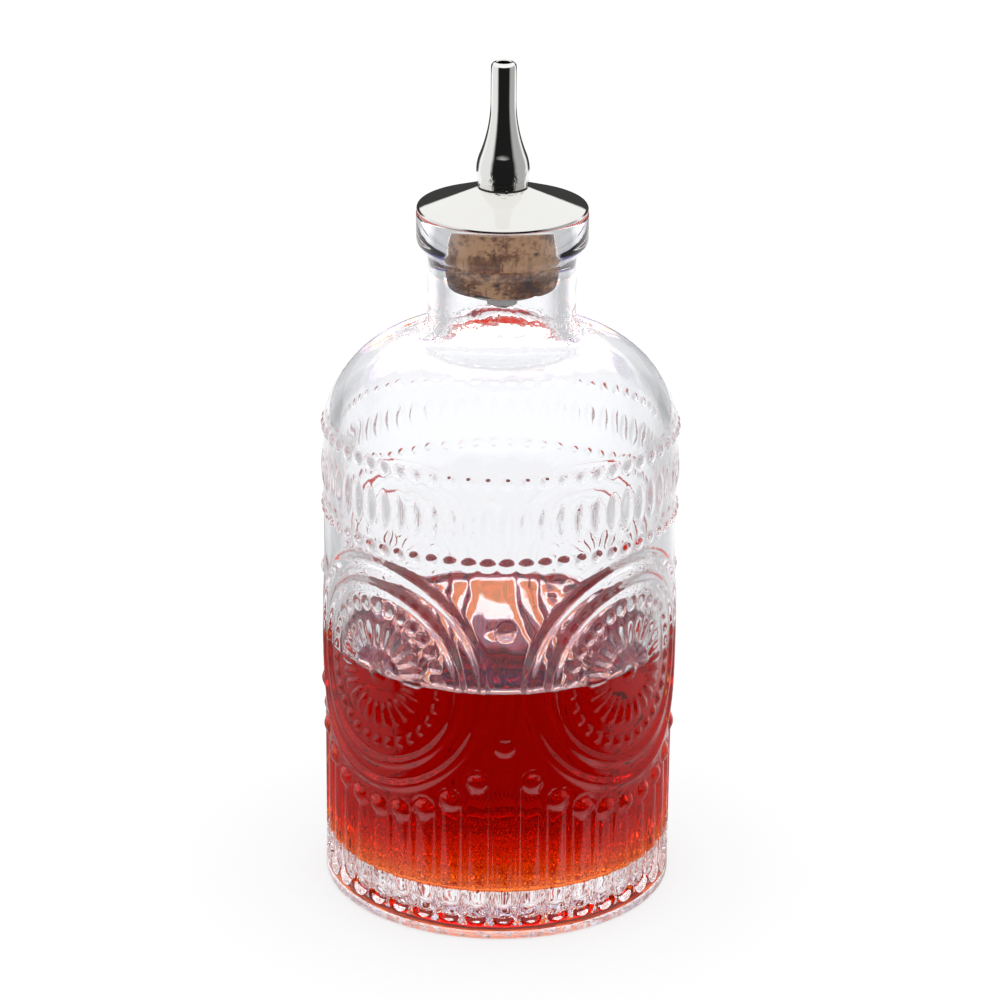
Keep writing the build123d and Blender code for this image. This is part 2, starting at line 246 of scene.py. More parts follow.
def ring_faces(starts, counts):
    """Faces between neighbouring rings, quads between equal rings and triangles
    where one has more points, with the row that each face belongs to."""
    faces, rows = [], []
    for row in range(len(starts) - 1):
        a, b, m, n = starts[row], starts[row + 1], counts[row], counts[row + 1]
        i, j = np.arange(m), np.arange(n)
        made = len(faces)
        if m == n:
            faces += np.column_stack([a + i, a + (i + 1) % m, b + (i + 1) % m, b + i]).tolist()
        elif n == 1:
            faces += np.column_stack([a + i, a + (i + 1) % m, b + 0 * i]).tolist()
        elif m == 1:
            faces += np.column_stack([a + 0 * j, b + (j + 1) % n, b + j]).tolist()
        elif m < n:
            step = n // m
            faces += np.column_stack([a + j // step, b + (j + 1) % n, b + j]).tolist()
            faces += np.column_stack([a + i, a + (i + 1) % m, b + (i + 1) % m * step]).tolist()
        else:
            step = m // n
            faces += np.column_stack([a + i, a + (i + 1) % m, b + i // step]).tolist()
            faces += np.column_stack([a + (j + 1) % n * step, b + (j + 1) % n, b + j]).tolist()
        rows += [row] * (len(faces) - made)
    return faces, rows


def solid_of_rings(name, ring_list, finish_of_row=None, closed=False):
    """Smooth mesh from a list of rings. The first and last may be single points, or
    the last joins the first again. finish_of_row gives each row's material index."""
    if closed:
        ring_list = list(ring_list) + [ring_list[0]]
    counts = [len(ring) for ring in ring_list]
    starts = np.concatenate([[0], np.cumsum(counts)[:-1]]).tolist()
    points = np.concatenate(ring_list)
    if closed:
        points = points[:starts[-1]]
        starts[-1] = 0
    faces, rows = ring_faces(starts, counts)
    mesh = bpy.data.meshes.new(name)
    mesh.from_pydata(points.tolist(), [], faces)
    mesh.shade_smooth()
    if finish_of_row is not None:
        mesh.polygons.foreach_set("material_index", np.array(finish_of_row, np.int32)[rows])
    mesh.validate()
    piece = bpy.data.objects.new(name, mesh)
    bpy.context.scene.collection.objects.link(piece)
    return piece


def on_axis(height):
    """A ring of a single point, which closes a skin in its middle."""
    return np.array([[[0.0, 0.0, height]]])


level_bands = (
    (2.8 * mm, 4),
    (7.2 * mm, 12),
    (21.0 * mm, 7),
    (73.8 * mm, 96),
    (76.8 * mm, 9),
    (79.0 * mm, 3),
    (87.0 * mm, 16),
    (89.7 * mm, 3),
    (92.6 * mm, 9),
)


def wall_levels():
    """Heights of the rings up the wall: each band goes up to a height in some steps,
    which are short where the ornament is fine."""
    low, levels = heel_round, []
    for high, steps in level_bands:
        levels.append(run(low, high, steps + 1)[:-1])
        low = high
    return np.append(np.concatenate(levels), low)


clear_skin, wetted_skin, stippled_skin = range(3)
seam_degrees = 1.6
throat_degrees = 50.0


def glass_rings():
    """The bottle's whole skin as rings, from the middle of the push-up to the middle
    of the floor, with the finish of each: clear, wetted by the liquid or stippled."""
    ring_outer = body_radius - heel_round
    ring_inner = ring_outer - ring_width
    corner_r = body_radius - corner_radius
    start_r = corner_r + corner_radius * math.cos(corner_turn)
    start_z = body_height + corner_radius * math.sin(corner_turn)
    bore = neck_radius - neck_wall
    centre_r = bore + shoulder_centre
    shoulder = (start_r - centre_r) / math.cos(corner_turn)
    centre_z = start_z - shoulder * math.sin(corner_turn)
    reach = neck_radius + neck_fillet - centre_r
    climb = math.sqrt((shoulder + neck_fillet) ** 2 - reach ** 2)
    neck_z = centre_z + climb
    end_turn = math.degrees(math.atan2(climb, reach))
    top = glass_top
    land_top = top - lip_edge
    roll_top = land_top - lip_land
    roll_foot = roll_top - lip_roll
    turn_deg = math.degrees(corner_turn)
    underside = arc_from((0.0, push_up), (ring_inner, 0.0), (1.0, 0.0), 13)[1:]
    dome_rows = int(np.sum(underside[:, 0] < stipple_radius))
    heel = arc((ring_outer, heel_round), heel_round, -90.0, 0.0, 5)[:-1]
    levels = wall_levels()
    plain_r = np.where(
        levels > body_height,
        corner_r + np.sqrt(corner_radius ** 2 - np.clip(levels - body_height, 0.0, None) ** 2),
        body_radius,
    )
    turn = np.arange(wall_columns) * 2 * math.pi / wall_columns
    angle, height = np.meshgrid(turn, levels)
    r = plain_r[:, None] + wall_relief(angle, height)
    body = np.stack([r * np.sin(angle), -r * np.cos(angle), height], axis=-1)
    last_turn = math.degrees(math.asin((levels[-1] - body_height) / corner_radius))
    outside = np.concatenate([
        arc((corner_r, body_height), corner_radius, last_turn + seam_degrees, turn_deg, 3),
        arc((centre_r, centre_z), shoulder, turn_deg, end_turn, 17)[1:],
        arc((neck_radius + neck_fillet, neck_z), neck_fillet, end_turn - 180.0, -180.0, 6)[1:],
        run((neck_radius, neck_z), (neck_radius, roll_foot), 4)[1:],
        arc_from((lip_radius, roll_top), (neck_radius, roll_foot), (0.0, -1.0), 8)[::-1][1:],
        run((lip_radius, roll_top), (lip_radius, land_top), 3)[1:],
        arc((lip_radius - lip_edge, land_top), lip_edge, 0.0, 90.0, 5)[1:],
    ])
    inner_shoulder = shoulder - wall
    throat_r = bore + throat_round
    throat_z = centre_z + math.sqrt((inner_shoulder + throat_round) ** 2 - (throat_r - centre_r) ** 2)
    throat_end = math.degrees(math.atan2(throat_z - centre_z, throat_r - centre_r))
    inside_neck = np.concatenate([
        run((lip_radius - lip_edge, top), (bore + mouth_round, top), 4)[1:],
        arc((bore + mouth_round, top - mouth_round), mouth_round, 90.0, 180.0, 4)[1:],
        run((bore, top - mouth_round), (bore, throat_z), 4)[1:],
        arc((throat_r, throat_z), throat_round, 180.0, throat_end + 180.0, 8)[1:],
        arc((centre_r, centre_z), inner_shoulder, throat_end, throat_degrees, 6)[1:],
    ])
    side_r = body_radius - wall
    inside_body = np.concatenate([
        arc((centre_r, centre_z), inner_shoulder, throat_degrees, turn_deg, 8)[1:],
        arc((corner_r, body_height), corner_radius - wall, turn_deg, 0.0, 4)[1:],
        run((side_r, body_height), (side_r, contact_height), 14)[1:],
    ])
    inside_wet = np.concatenate([
        run((side_r, contact_height), (side_r, floor_height + floor_corner), 13)[1:],
        arc((side_r - floor_corner, floor_height + floor_corner), floor_corner, 0.0, -90.0, 8)[1:],
    ])
    floor_line = arc_from(
        (0.0, floor_height + floor_dome), (side_r - floor_corner, floor_height), (1.0, 0.0), 9
    )[::-1][1:-1]
    hollow = np.concatenate([rings(inside_body, inside_columns), rings(inside_wet, inside_columns)])
    turn = np.arange(inside_columns) * 2 * math.pi / inside_columns
    height = hollow[..., 2]
    uneven = soft_step(height, floor_height, floor_height + 3 * floor_corner)
    uneven *= 1.0 - calm_share * soft_step(height, contact_height - corner_radius, contact_height)
    uneven *= 1.0 - soft_step(height, body_height, body_height + corner_radius)
    push = uneven * inside_waves(np.broadcast_to(turn, height.shape), height)
    hollow[..., 0] += push * np.sin(turn)
    hollow[..., 1] -= push * np.cos(turn)
    parts = [
        (on_axis(push_up), stippled_skin),
        (rings(underside[:dome_rows], neck_columns), stippled_skin),
        (rings(underside[dome_rows:-1], neck_columns), clear_skin),
        (rings(underside[-1:], neck_columns), stippled_skin),
        (rings(heel, wall_columns), clear_skin),
        (body, clear_skin),
        (rings(outside, neck_columns), clear_skin),
        (rings(inside_neck, neck_columns), clear_skin),
        (hollow[:len(inside_body) - 1], clear_skin),
        (hollow[len(inside_body) - 1:], wetted_skin),
        (rings(floor_line, neck_columns), wetted_skin),
        (on_axis(floor_height + floor_dome), wetted_skin),
    ]
    ring_list = [ring for part, finish in parts for ring in part]
    finishes = [finish for part, finish in parts for ring in part]
    return ring_list, finishes[:-1]


def principled(name, **sockets):
    """Material with one Principled shader, its sockets set to constants."""
    material = bpy.data.materials.new(name)
    material.use_nodes = True
    shader = material.node_tree.nodes["Principled BSDF"]
    for socket, value in sockets.items():
        shader.inputs[socket.replace("_", " ")].default_value = value
    return material


white = (1.0, 1.0, 1.0, 1.0)


def see_through(name, ior, colour=white):
    """Smooth material that light passes into, bent by its index."""
    return principled(name, Base_Color=colour, Roughness=0.0, IOR=ior, Transmission_Weight=1.0)


def add_node(material, kind, settings=None, **inputs):
    """New node with some settings; an input is a value, or another node's output."""
    made = material.node_tree.nodes.new(kind)
    for name, value in (settings or {}).items():
        setattr(made, name, value)
    for name, value in inputs.items():
        key = int(name[1:]) if name[1:].isdigit() else name.replace("_", " ")
        socket = made.inputs[key]
        if isinstance(value, bpy.types.NodeSocket):
            material.node_tree.links.new(value, socket)
        else:
            socket.default_value = value
    return made


def object_place(material):
    """The point on the piece, in metres in the object's own frame."""
    return add_node(material, "ShaderNodeTexCoord").outputs["Object"]


def stretched_place(material, scale):
    """The same point with each axis scaled, for a pattern that is longer one way."""
    return add_node(material, "ShaderNodeMapping", Vector=object_place(material), Scale=scale).outputs[0]


def noise(material, place, **inputs):
    """Noise pattern at a place on the piece."""
    return add_node(material, "ShaderNodeTexNoise", Vector=place, **inputs).outputs["Fac"]


def roughen(material, height, distance):
    """Turns a height pattern into surface relief for the Principled shader."""
    relief = add_node(material, "ShaderNodeBump", Height=height, Distance=distance, Strength=1.0)
    shader = material.node_tree.nodes["Principled BSDF"]
    material.node_tree.links.new(relief.outputs["Normal"], shader.inputs["Normal"])


def maths(holder, operation, *values, clamped=False):
    """One Math node, from numbers or other nodes' outputs."""
    made = holder.node_tree.nodes.new("ShaderNodeMath")
    made.operation = operation
    made.use_clamp = clamped
    for socket, value in zip(made.inputs, values):
        if isinstance(value, bpy.types.NodeSocket):
            holder.node_tree.links.new(value, socket)
        else:
            socket.default_value = value
    return made.outputs[0]


def fade(holder, value, low, high, start=0.0, end=1.0):
    """Smooth change from start, where the value is low, to end, where it is high."""
    falling = high < low
    made = add_node(
        holder,
        "ShaderNodeMapRange",
        {"interpolation_type": "SMOOTHSTEP"},
        Value=value,
        From_Min=min(low, high),
        From_Max=max(low, high),
        To_Min=end if falling else start,
        To_Max=start if falling else end,
    )
    return made.outputs[0]


def both(holder, *shares):
    """Product of any number of shares."""
    total = shares[0]
    for share in shares[1:]:
        total = maths(holder, "MULTIPLY", total, share)
    return total


least_flat = 0.001


def place_parts(holder, output):
    """X, Y and Z of a place or direction, its distance from the axis, and the cosine
    and the sine of its turn away from straight behind the bottle."""
    place = add_node(holder, "ShaderNodeTexCoord").outputs[output]
    split = add_node(holder, "ShaderNodeSeparateXYZ", Vector=place)
    x, y, z = split.outputs["X"], split.outputs["Y"], split.outputs["Z"]
    flat = maths(holder, "SQRT", maths(holder, "ADD", both(holder, x, x), both(holder, y, y)))
    reach = maths(holder, "MAXIMUM", flat, least_flat)
    ahead, across = maths(holder, "DIVIDE", y, reach), maths(holder, "DIVIDE", x, reach)
    return SimpleNamespace(x=x, y=y, z=z, flat=flat, ahead=ahead, across=across)


glass_ior = 1.5
bitters_ior = 1.335
ripple_scale = 210.0
ripple_depth = 0.05 * mm
chill_scale = 900.0
chill_strength = 1.7
chill_heights = (116.0 * mm, 113.0 * mm)
chill_radii = (13.4 * mm, 12.2 * mm)
stipple_scale = 620.0
stipple_density = (1.25, 0.35, 1.0)
stipple_depth = 5.0 * mm

glass_rows, glass_finishes = glass_rings()
glass = solid_of_rings("bottle_glass", glass_rows, glass_finishes)
clear_glass = see_through("clear_glass", glass_ior)
ripple = noise(clear_glass, object_place(clear_glass), Scale=ripple_scale, Detail=1.0)
chill = noise(clear_glass, object_place(clear_glass), Scale=chill_scale, Detail=1.0)
place = place_parts(clear_glass, "Object")
chilled_top = fade(clear_glass, place.z, *chill_heights)
chilled = both(clear_glass, chilled_top, fade(clear_glass, place.flat, *chill_radii))
waviness = maths(clear_glass, "ADD", ripple, both(clear_glass, chill, chilled, chill_strength))
roughen(clear_glass, waviness, ripple_depth)
wetted_glass = see_through("wetted_glass", glass_ior / bitters_ior)
stippled_glass = see_through("stippled_glass", glass_ior)
stipple_place = stretched_place(stippled_glass, stipple_density)
stipple = noise(stippled_glass, stipple_place, Scale=stipple_scale, Detail=1.5)
roughen(stippled_glass, stipple, stipple_depth)
for material in (clear_glass, wetted_glass, stippled_glass):
    glass.data.materials.append(material)
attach(glass, "bottle")
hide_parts("glass_bottle")

# Bitters
# The deep red liquid in the bottle. It wets the glass, so its skin lies a little
# inside the wall, and its free surface climbs that wall in a thin meniscus.
wetting = 0.3 * mm
meniscus_height = 0.4 * mm
meniscus_width = 1.6 * mm
meniscus_fall = 4.0
absorbed_colour = (0.96, 0.76, 0.2, 1.0)
absorbed_density = 550.0
against_glass_tint = (1.0, 0.23, 0.03, 1.0)


def bitters_rings():
    """Liquid from the middle of its floor up the wall, then in over the meniscus, an
    exponential of the distance from the wall, with the finish of each row: 0 open to
    the air, 1 against the glass."""
    side_r = body_radius - wall + wetting
    corner_r = side_r - floor_corner
    low = floor_height - wetting
    level = contact_height - meniscus_height
    climb = np.linspace(0.0, 1.0, 9)
    surface = np.column_stack([
        side_r - climb * meniscus_fall * meniscus_width,
        level + meniscus_height * (np.exp(-meniscus_fall * climb) - math.exp(-meniscus_fall) * climb),
    ])
    against = np.concatenate([
        arc_from((0.0, floor_height + floor_dome - wetting), (corner_r, low), (1.0, 0.0), 7)[1:],
        arc((corner_r, low + floor_corner), floor_corner, -90.0, 0.0, 8)[1:],
        run((side_r, low + floor_corner), (side_r, contact_height), 6)[1:],
    ])
    free = np.concatenate([surface[1:], run(surface[-1], (0.0, level), 4)[1:-1]])
    parts = [on_axis(floor_height + floor_dome - wetting)]
    parts += [rings(against, neck_columns), rings(free, neck_columns), on_axis(level)]
    return [ring for part in parts for ring in part], [1] * len(against) + [0] * (len(free) + 1)


bitters_rows, bitters_finishes = bitters_rings()
bitters = solid_of_rings("bitters_liquid", bitters_rows, bitters_finishes)


def bitters_finish(name, ior, tint):
    """Liquid coloured by the depth that light crosses and by the tint of its skin."""
    material = see_through(name, ior, tint)
    absorb = add_node(
        material, "ShaderNodeVolumeAbsorption", Color=absorbed_colour, Density=absorbed_density
    )
    output = material.node_tree.nodes["Material Output"]
    material.node_tree.links.new(absorb.outputs["Volume"], output.inputs["Volume"])
    return material


bitters.data.materials.append(bitters_finish("bitters_surface", bitters_ior, white))
bitters.data.materials.append(bitters_finish("bitters_against_glass", 1.0, against_glass_tint))
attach(bitters, "bottle")
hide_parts("bitters_fill")

# Cork
# Natural cork, turned to a slight taper and bored for the stem. Its growth rings
# stand as fine cracks, its lenticels as dark pores, and its lower edge is chipped.
cork_low, cork_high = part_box("cork_stopper")
cork_top_r = 10.12 * mm
cork_foot_r = 9.75 * mm
cork_hole_r = 1.85 * mm
cork_foot_round = 1.0 * mm
cork_columns = 220
pore_count = 150
pore_widths = (0.12, 0.5)
pore_heights = (0.10, 0.35)
crack_count = 26
crack_half_width = 0.11 * mm
crack_depth = 0.16 * mm
crack_wander = 0.25 * mm
crack_wave = 1.7 * mm
chips = (
    (-0.45, 1.6 * mm, 1.1 * mm),
    (-0.30, 0.9 * mm, 0.8 * mm),
    (0.62, 1.0 * mm, 0.5 * mm),
    (2.6, 1.5 * mm, 0.9 * mm),
    (4.1, 1.2 * mm, 0.7 * mm),
)
chip_depth = 0.55 * mm
deepest_tear = 0.9 * mm
darkest_tear = 0.3 * mm
cork_random = np.random.default_rng(11)


def cork_depth(angle, height, radius):
    """How deep the surface is torn at a point: the deepest of its pores, cracks and
    chips. A pore is a bell over an ellipse, a crack a narrow valley that wanders
    upwards, and a chip a paraboloid at the lower edge."""
    depth = np.zeros_like(angle)
    span = cork_high.z - cork_low.z
    for _ in range(pore_count):
        turn = cork_random.uniform(0.0, 2 * math.pi)
        level = cork_low.z + span * cork_random.uniform(0.0, 1.0) ** 0.8
        wide = cork_random.uniform(*pore_widths) * mm
        tall = cork_random.uniform(*pore_heights) * mm
        across = radius * to_nearest(angle - turn, 2 * math.pi) / wide
        depth = np.maximum(depth, wide * 0.7 * np.exp(-across ** 2 - ((height - level) / tall) ** 2))
    for _ in range(crack_count):
        turn = cork_random.uniform(0.0, 2 * math.pi)
        low = cork_low.z + span * cork_random.uniform(-0.2, 0.7)
        long = span * cork_random.uniform(0.25, 0.9)
        wander = crack_wander * np.sin((height - low) / crack_wave + turn * 9.0)
        across = (radius * to_nearest(angle - turn, 2 * math.pi) + wander) / crack_half_width
        along = soft_step(height, low, low + 0.2 * long)
        along *= 1.0 - soft_step(height, low + 0.8 * long, low + long)
        depth = np.maximum(depth, crack_depth * along * np.exp(-across ** 2))
    for turn, wide, tall in chips:
        across = radius * to_nearest(angle - turn, 2 * math.pi) / wide
        up = (height - cork_low.z) / tall
        depth = np.maximum(depth, chip_depth * np.clip(1.0 - across ** 2 - up ** 2, 0.0, None))
    return depth


def cork_rings():
    """Tapered side, rounded foot, end faces and bore, pushed inwards by the torn depth."""
    foot = arc(
        (cork_foot_r - cork_foot_round, cork_low.z + cork_foot_round), cork_foot_round, -90.0, 0.0, 8
    )
    side = run(foot[-1], (cork_top_r, cork_high.z), 62)[1:]
    turn = np.arange(cork_columns) * 2 * math.pi / cork_columns
    profile = np.concatenate([foot, side])
    angle, height = np.meshgrid(turn, profile[:, 1])
    depth = cork_depth(angle, height, cork_foot_r)
    r = profile[:, 0:1] - np.minimum(depth, deepest_tear)
    skin = np.stack([r * np.sin(angle), -r * np.cos(angle), height], axis=-1)
    top = rings(run((cork_top_r, cork_high.z), (cork_hole_r, cork_high.z), 6)[1:], cork_columns)
    under = rings(run((cork_hole_r, cork_low.z), (foot[0][0], cork_low.z), 6)[:-1], cork_columns)
    ring_list = [ring for part in (skin, top, under) for ring in part]
    torn = np.zeros((len(ring_list), cork_columns))
    torn[:len(profile)] = depth
    return ring_list, torn


def blended(holder, first, second, share):
    """Colour that goes from the first to the second as the share rises."""
    made = add_node(holder, "ShaderNodeMix", {"data_type": "RGBA"}, i0=share, i6=first, i7=second)
    return made.outputs[2]


cork_list, cork_torn = cork_rings()
cork = solid_of_rings("cork_body", cork_list, closed=True)
# The depth of each tear is kept so the colour can darken with it: partly the lenticels' own dark colour,
# partly painted shade in pores, cracks and chips
torn_values = cork.data.attributes.new("torn", "FLOAT", "POINT")
torn_values.data.foreach_set("value", (cork_torn / darkest_tear).clip(0.0, 1.0).ravel())
dark_cork = (0.73, (0.07, 0.020, 0.008, 1.0))
middle_cork = (0.90, (0.30, 0.11, 0.04, 1.0))
pale_cork = (1.0, (0.72, 0.40, 0.21, 1.0))
# Near black where a tear is deepest: the pores' own dark colour and painted shade in the hollows
dark_pore_and_painted_shade = (0.022, 0.009, 0.005, 1.0)
patch_strength = 0.85
cork_relief = 0.12 * mm
natural_cork = principled("natural_cork", Roughness=0.8, Specular_IOR_Level=0.25)
cork_place = object_place(natural_cork)
grain_place = stretched_place(natural_cork, (1.0, 1.0, 1.3))
grain = noise(natural_cork, grain_place, Scale=650.0, Detail=8.0, Roughness=0.8)
patches = noise(natural_cork, cork_place, Scale=190.0, Detail=3.0)
cells = add_node(natural_cork, "ShaderNodeTexVoronoi", Vector=cork_place, Scale=1500.0)
tone = maths(natural_cork, "MULTIPLY_ADD", patches, patch_strength, grain)
ramp = add_node(natural_cork, "ShaderNodeValToRGB", Fac=tone)
tones = ramp.color_ramp.elements
tones[0].position, tones[0].color = dark_cork
tones[1].position, tones[1].color = pale_cork
tones.new(middle_cork[0]).color = middle_cork[1]
# The deeper the tear, the darker the cork: partly the pores' own colour, partly painted shade in pores,
# cracks and chips
pore_and_shade_read = add_node(natural_cork, "ShaderNodeAttribute", {"attribute_name": "torn"})
cork_colour = blended(natural_cork, ramp.outputs["Color"], dark_pore_and_painted_shade, pore_and_shade_read.outputs["Fac"])
cork_shader = natural_cork.node_tree.nodes["Principled BSDF"]
natural_cork.node_tree.links.new(cork_colour, cork_shader.inputs["Base Color"])
roughen(natural_cork, maths(natural_cork, "ADD", grain, cells.outputs["Distance"]), cork_relief)
cork.data.materials.append(natural_cork)
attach(cork, "stopper")
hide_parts("cork_stopper")

# Cover plate
# Spun steel disc, polished to a mirror: a shallow cone with a rolled rim, which
# closes the lip of the bottle, and a small flat land in its middle for the spout.
plate_low, plate_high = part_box("cover_plate")
plate_radius = 15.7 * mm
plate_hole_r = 1.85 * mm
plate_land_r = 4.9 * mm
rim_height = 1.0 * mm
rim_widest = 0.38 * rim_height
rim_tuck = 0.55 * mm
roll_degrees = 68.0
land_edge_drop = 0.02 * mm
land_edge_width = 0.1 * mm
buffing_depth = 0.008 * mm
metal_columns = 160


def rim_line():
    """Rolled rim: half an ellipse below its widest point and a wider roll above it."""
    widest = plate_low.z + rim_widest
    roll = rim_height - rim_widest
    below = np.radians(np.linspace(-90.0, 0.0, 9))
    above = np.radians(np.linspace(0.0, roll_degrees, 7))[1:]
    low = np.column_stack([
        plate_radius - rim_tuck + rim_tuck * np.cos(below),
        widest + (widest - plate_low.z) * np.sin(below),
    ])
    high = np.column_stack([
        plate_radius - roll * (1.0 - np.cos(above)),
        widest + roll * np.sin(above),
    ])
    return np.concatenate([low, high])


rim_points = rim_line()
plate_profile = np.concatenate([
    run((plate_hole_r, plate_low.z), rim_points[0], 4)[:-1],
    rim_points,
    run(rim_points[-1], (plate_land_r, plate_high.z - land_edge_drop), 12)[1:],
    run((plate_land_r - land_edge_width, plate_high.z), (plate_hole_r, plate_high.z), 4),
])
plate = solid_of_rings("plate_cover", rings(plate_profile, metal_columns), closed=True)
mirror_metal = principled(
    "mirror_metal", Base_Color=(0.87, 0.865, 0.84, 1.0), Roughness=0.035, Metallic=1.0
)
buffing = noise(mirror_metal, object_place(mirror_metal), Scale=420.0, Detail=3.0)
roughen(mirror_metal, buffing, buffing_depth)
plate.data.materials.append(mirror_metal)
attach(plate, "stopper")
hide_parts("cover_plate")

# Stem, washer and nut
# A turned brass tube, plated, that clamps the cork between plate and washer. Both
# ends are threaded: the nut is screwed on below, and the spout on top.
stem_low, stem_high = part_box("stem_tube")
washer_low, washer_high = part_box("clamp_washer")
nut_low, nut_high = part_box("stem_nut")
stem_radius = 1.8 * mm
stem_bore = 1.0 * mm
flange_radius = 3.2 * mm
flange_height = 0.8 * mm
thread_pitch = 0.7 * mm
thread_depth = 0.3 * mm
washer_radius = 6.8 * mm
washer_edge = 0.12 * mm
tool_mark_depth = 0.01 * mm
ring_columns = 96
stem_columns = 48


def threaded(profile, ranges):
    """Rings of a profile, with a V thread cut where the height lies in a range: the
    depth is a triangle wave of height over pitch less the turn, so it runs as a helix."""
    made = rings(profile, stem_columns)
    turn = np.arange(stem_columns) / stem_columns
    height = made[..., 2]
    radius = np.hypot(made[..., 0], made[..., 1])
    wave = np.abs(2.0 * ((height / thread_pitch - turn) % 1.0) - 1.0)
    inside = np.zeros_like(height)
    for low, high in ranges:
        inside += soft_step(height, low, low + thread_pitch / 4)
        inside -= soft_step(height, high - thread_pitch / 4, high)
    outer = (radius > stem_bore * 1.2) & (radius < stem_radius * 1.05)
    scale = 1.0 - np.where(outer, thread_depth * wave * inside / radius, 0.0)
    made[..., 0] *= scale
    made[..., 1] *= scale
    return made


thread_step = thread_pitch / 7
spigot_rows = int(round((stem_high.z - plate_high.z - flange_height) / thread_step)) + 1
tail_rows = int(round((washer_low.z - stem_low.z) / thread_step)) + 1
flange_top = plate_high.z + flange_height
stem_profile = np.concatenate([
    run((stem_radius, stem_low.z), (stem_radius, washer_low.z), tail_rows),
    run((stem_radius, washer_low.z), (stem_radius, plate_high.z), 4)[1:],
    run((stem_radius, plate_high.z), (flange_radius, plate_high.z), 3)[1:],
    run((flange_radius, plate_high.z), (flange_radius, flange_top), 3)[1:],
    run((flange_radius, flange_top), (stem_radius, flange_top), 3)[1:],
    run((stem_radius, flange_top), (stem_radius, stem_high.z), spigot_rows)[1:],
    run((stem_radius, stem_high.z), (stem_bore, stem_high.z), 3)[1:],
    run((stem_bore, stem_high.z), (stem_bore, stem_low.z), 5)[1:],
])
stem = solid_of_rings(
    "stem_threaded",
    threaded(stem_profile, ((stem_low.z, washer_low.z), (flange_top, stem_high.z))),
    closed=True,
)


def rounded_ring(inner, outer, low, high, edge):
    """Profile of a flat ring whose four edges are rounded."""
    corners = (((outer, low), -90.0), ((outer, high), 0.0), ((inner, high), 90.0), ((inner, low), 180.0))
    points = []
    for (r, z), start in corners:
        centre = (r + edge * (1 if r == inner else -1), z + edge * (1 if z == low else -1))
        points.append(arc(centre, edge, start, start + 90.0, 4))
    return np.concatenate(points)


washer_profile = rounded_ring(cork_hole_r, washer_radius, washer_low.z, washer_high.z, washer_edge)
washer = solid_of_rings("washer_clamp", rings(washer_profile, ring_columns), closed=True)
nut_flats = 5.5 * mm
nut_chamfer = 0.3 * mm


def nut_rings():
    """Hexagon by its formula, half the flats over the cosine of the turn from the
    nearest flat, cut by a cone that turns the lower corners off."""
    columns = 72
    turn = np.arange(columns) * 2 * math.pi / columns
    hexagon = nut_flats / 2 / np.cos(to_nearest(turn, math.pi / 3))
    corner = nut_flats / 2 / math.cos(math.pi / 6)
    rows = []
    chamfer_levels = run(nut_low.z, nut_low.z + nut_chamfer, 4)
    side_levels = run(nut_low.z, nut_high.z, 5)[1:]
    for z in np.concatenate([chamfer_levels, side_levels]):
        cone = corner - nut_chamfer + (z - nut_low.z)
        rows.append((np.minimum(hexagon, cone), z))
    rows.append((np.full(columns, cork_hole_r), nut_high.z))
    rows.append((np.full(columns, cork_hole_r), nut_low.z))
    return [np.column_stack([r * np.cos(turn), r * np.sin(turn), np.full(columns, z)]) for r, z in rows]


nut = solid_of_rings("nut_clamp", nut_rings(), closed=True)
turned_metal = principled(
    "turned_metal", Base_Color=(0.34, 0.335, 0.325, 1.0), Roughness=0.3, Metallic=1.0
)
turning_place = stretched_place(turned_metal, (1.0, 1.0, 30.0))
tool_marks = noise(turned_metal, turning_place, Scale=300.0, Detail=2.0)
roughen(turned_metal, tool_marks, tool_mark_depth)
for piece, replaced in ((stem, "stem_tube"), (washer, "clamp_washer"), (nut, "stem_nut")):
    piece.data.set_sharp_from_angle(angle=math.radians(40.0))
    piece.data.materials.append(turned_metal)
    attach(piece, "stopper")
    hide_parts(replaced)

# Spout
# Drawn and polished steel, screwed on the stem down to a thin rubber ring. A fine
# hole in its tip lets one dash out at a time.
spout_low, spout_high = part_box("dasher_spout")
seal_low, seal_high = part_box("spout_gasket")
spout_foot_r = 4.6 * mm
spout_bulge_r = 4.87 * mm
spout_bulge = 2.7 * mm
spout_flare = 13.2 * mm
flare_share = 0.757
spout_tip_r = 2.33 * mm
spout_tip_round = 0.85 * mm
spout_hole_r = 1.2 * mm
spout_hole = 8.0 * mm
hole_lip = 0.08 * mm
pocket_r = 3.35 * mm
pocket_top = flange_top + 0.15 * mm
socket_r = 1.85 * mm
socket_top = stem_high.z + 0.4 * mm
crimp_rise = (2.4 * mm, 4.2 * mm)
crimp_left = 0.04
crimp_depth = 0.16 * mm
seal_inner_r = 3.58 * mm
seal_outer_r = 4.48 * mm
seal_edge = 0.1 * mm
seal_grain = 0.02 * mm


